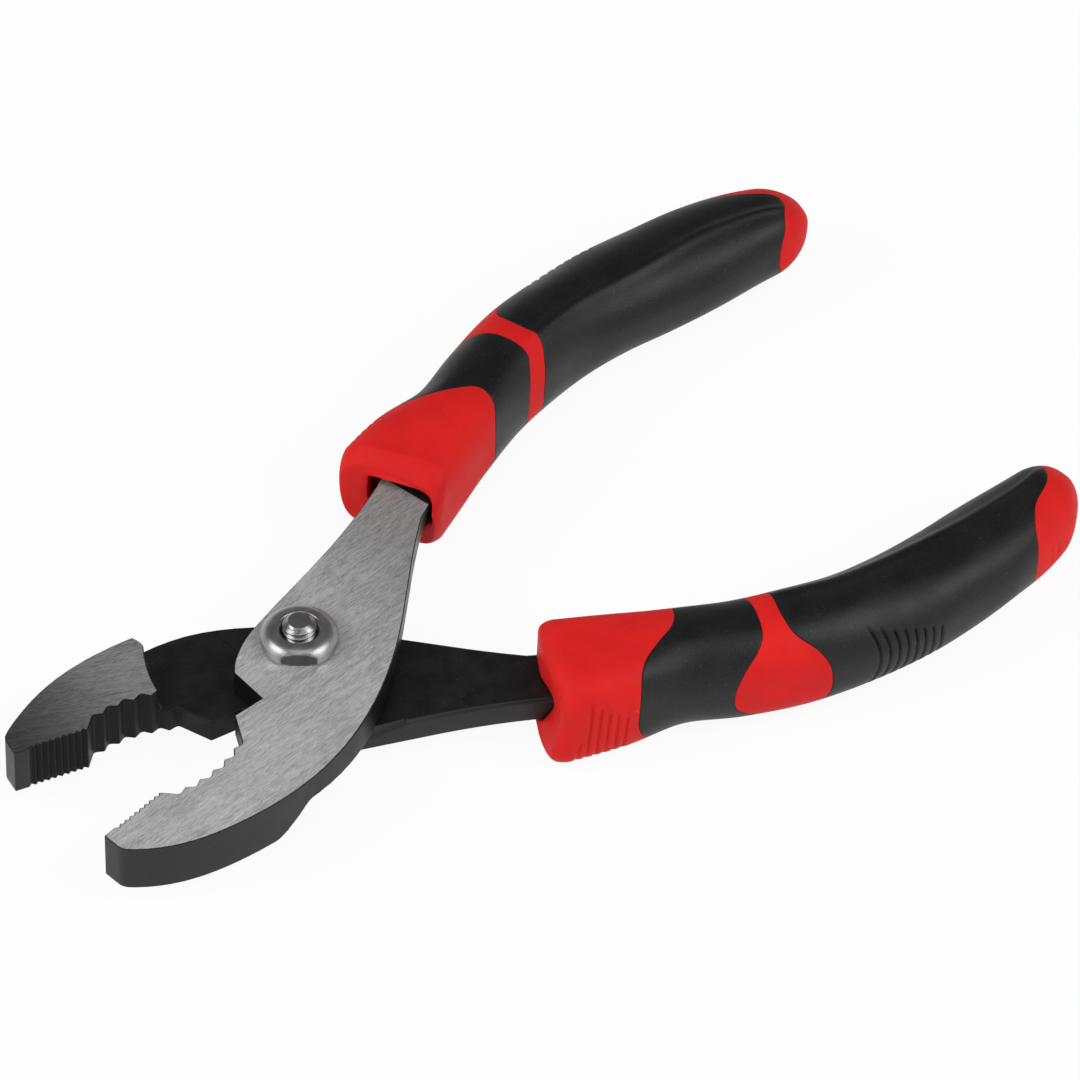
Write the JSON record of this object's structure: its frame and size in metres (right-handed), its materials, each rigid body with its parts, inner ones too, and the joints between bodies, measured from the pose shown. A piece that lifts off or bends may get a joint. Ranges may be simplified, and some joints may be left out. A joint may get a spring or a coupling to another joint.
{
  "type": "slip joint pliers",
  "caption": "Slip joint pliers with toothed open jaws, a keyed pivot bolt in a two-seat slot and bowed two-tone moulded grips.",
  "frame": {"origin": "on the pivot axis, in the plane that the bolt's head and the grips rest on", "axes": "+X from the pivot towards the grips, jaws along -X, +Z along the pivot axis towards the nut"},
  "size_m": [0.2014, 0.1155, 0.0213],
  "materials": {
    "ground_steel": "forged steel, blackened on its sides and ground bright on its flat faces",
    "black_steel": "forged steel with a satin black oxide, ground on the jaw's flat face",
    "bolt_steel": "dark turned steel",
    "bright_nut": "bright polished plating",
    "red_moulding": "satin red hard plastic",
    "soft_black": "soft matt black overmoulding"
  },
  "bodies": {
    "upper": {"upper_half": "ground_steel", "pivot_bolt": "bolt_steel", "pivot_nut": "bright_nut", "upper_sleeve": "red_moulding", "upper_neck_pad": "soft_black", "upper_palm_pad": "soft_black"},
    "washer": {"pivot_washer": "bolt_steel"},
    "lower": {"lower_half": "black_steel", "lower_sleeve": "red_moulding", "lower_neck_pad": "soft_black", "lower_palm_pad": "soft_black"}
  },
  "joints": [
    {"name": "jaw_hinge", "type": "hinge", "parent": "upper", "child": "washer", "pos_m": [0, 0, 0], "axis": [0, 0, 1], "range_deg": [-12, 25.2]},
    {"name": "slot_slip", "type": "slide", "parent": "washer", "child": "lower", "axis": [0.2334, 0.9724, 0], "range_m": [0, 0.0065]}
  ]
}
